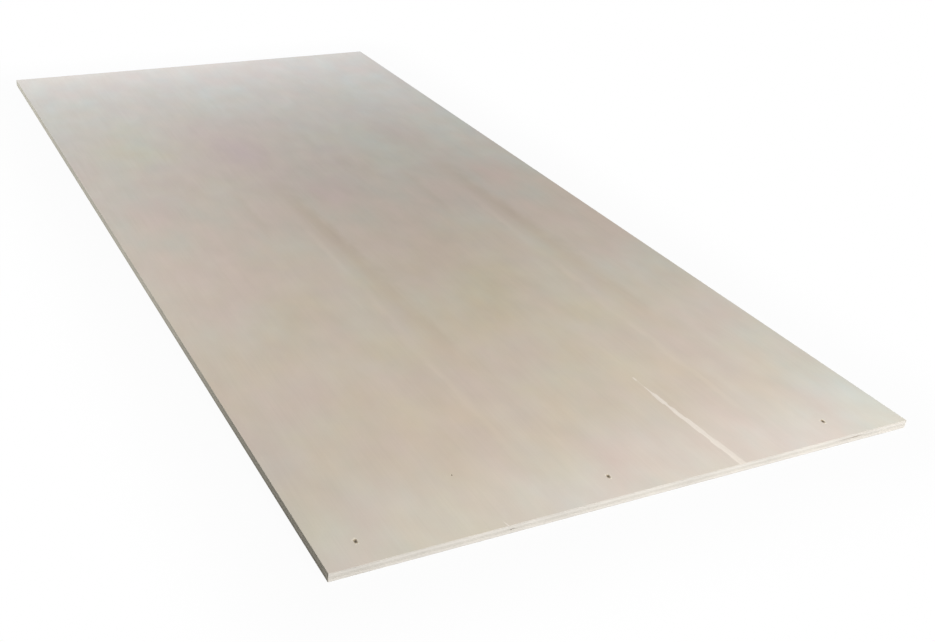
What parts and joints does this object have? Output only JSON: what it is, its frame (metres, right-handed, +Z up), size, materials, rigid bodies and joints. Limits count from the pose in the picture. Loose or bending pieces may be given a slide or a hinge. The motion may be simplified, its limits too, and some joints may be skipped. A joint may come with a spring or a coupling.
{
  "type": "plywood sheet",
  "caption": "Flat rectangular plywood sheet in pale sanded hardwood, with sawn edges that show the crossed plies, pin knots and a splinter torn from one end.",
  "frame": {"origin": "under the middle of the sheet, on the floor that its back face lies on", "axes": "+Y along the length and the face grain, +X across the width, +Z up out of the face"},
  "size_m": [1.22, 2.44, 0.0175],
  "materials": {
    "plywood": "sanded, bare"
  },
  "bodies": {
    "root": {"plywood_sheet": "plywood"}
  },
  "joints": []
}
